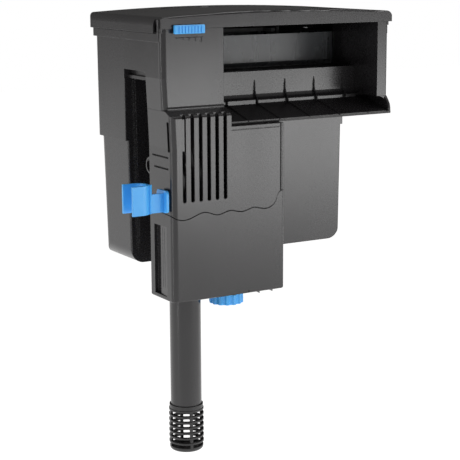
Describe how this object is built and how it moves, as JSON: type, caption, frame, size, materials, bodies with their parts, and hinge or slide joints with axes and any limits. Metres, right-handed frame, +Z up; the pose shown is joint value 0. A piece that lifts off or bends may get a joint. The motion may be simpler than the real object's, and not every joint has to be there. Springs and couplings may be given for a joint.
{
  "type": "hang-on-back aquarium filter",
  "caption": "Black hang-on-back aquarium filter: rear box with lid and media basket, bridge with wide spillway, tank-side pump housing, telescopic intake and blue heater clip.",
  "frame": {"origin": "middle of the seat under the bridge, where the filter rests on the tank's rim", "axes": "+Z up, -Y into the tank, +Y out behind the tank, +X to the right seen from inside the tank"},
  "size_m": [0.2769, 0.1516, 0.393],
  "materials": {
    "black_abs": "satin black moulded ABS",
    "blue_abs": "bright blue moulded plastic",
    "smoky_clear": "smoky translucent polycarbonate",
    "grey_plastic": "light grey moulded plastic",
    "black_pp": "matt black polypropylene",
    "coarse_foam": "coarse open-cell foam",
    "fine_foam": "fine white foam",
    "carbon_mesh": "mesh bag of black carbon granules",
    "bio_mesh": "net bag of porous ceramic granules",
    "seal_rubber": "matt nitrile rubber",
    "ceramic": "polished white ceramic",
    "ferrite": "dark sintered ferrite",
    "laminations": "steel laminations and copper, potted"
  },
  "bodies": {
    "filter_body": {"filter_case": "black_abs", "bridge_frame": "black_abs", "spillway_tray": "black_abs", "skimmer_shroud": "black_abs", "riser_tube": "black_pp", "crossover_duct": "black_pp", "motor_housing": "black_pp", "cord_gland": "black_abs", "stator_core": "laminations", "ceramic_shaft": "ceramic", "rear_shaft_bush": "seal_rubber", "front_shaft_bush": "seal_rubber", "volute": "black_pp", "volute_cover": "black_pp", "pump_o_ring": "seal_rubber"},
    "lid": {"lid": "black_abs"},
    "indicator": {"maintenance_indicator": "grey_plastic"},
    "basket": {"media_basket": "smoky_clear", "coarse_foam_pad": "coarse_foam", "fine_foam_pad": "fine_foam", "carbon_cartridge": "carbon_mesh", "bio_media_bag": "bio_mesh"},
    "handle": {"basket_handle": "grey_plastic"},
    "slider": {"flow_slider": "blue_abs", "flow_gate": "black_pp"},
    "pump_cover": {"intake_housing": "black_abs", "tube_seal_ring": "seal_rubber", "valve_sleeve": "black_pp"},
    "tube": {"intake_tube": "black_abs"},
    "strainer": {"strainer": "black_abs"},
    "dial": {"intake_selector_dial": "blue_abs", "mixing_drum": "black_pp"},
    "clip": {"heater_clip": "blue_abs"},
    "rotor": {"impeller": "grey_plastic", "rotor_magnet": "ferrite"}
  },
  "joints": [
    {"name": "lid_lift", "type": "slide", "parent": "filter_body", "child": "lid", "axis": [0, 0, 1], "range_m": [0, 0.3]},
    {"name": "indicator_pop", "type": "slide", "parent": "lid", "child": "indicator", "axis": [0, 0, 1], "range_m": [0, 0.006]},
    {"name": "basket_lift", "type": "slide", "parent": "filter_body", "child": "basket", "axis": [0, 0, 1], "range_m": [0, 0.21]},
    {"name": "handle_fold", "type": "hinge", "parent": "basket", "child": "handle", "pos_m": [0.02, 0.046, 0.036], "axis": [1, 0, 0], "range_deg": [0, 90]},
    {"name": "flow_slide", "type": "slide", "parent": "filter_body", "child": "slider", "axis": [1, 0, 0], "range_m": [0, 0.012]},
    {"name": "pump_cover_pull", "type": "slide", "parent": "filter_body", "child": "pump_cover", "axis": [0, 0, -1], "range_m": [0, 0.06]},
    {"name": "tube_telescope", "type": "slide", "parent": "pump_cover", "child": "tube", "axis": [0, 0, 1], "range_m": [0, 0.055]},
    {"name": "strainer_pull", "type": "slide", "parent": "tube", "child": "strainer", "axis": [0, 0, -1], "range_m": [0, 0.02]},
    {"name": "selector_turn", "type": "hinge", "parent": "pump_cover", "child": "dial", "pos_m": [-0.053, -0.048, -0.197], "axis": [0, 0, 1], "range_deg": [0, 90]},
    {"name": "clip_pull", "type": "slide", "parent": "filter_body", "child": "clip", "axis": [-1, 0, 0], "range_m": [0, 0.03]},
    {"name": "impeller_spin", "type": "hinge", "parent": "filter_body", "child": "rotor", "pos_m": [-0.031, -0.0466, -0.16], "axis": [0, 0, 1], "continuous": true}
  ],
  "couplings": [
    {"joint": "basket_lift", "follows": "lid_lift", "ratio": 0.7}
  ]
}
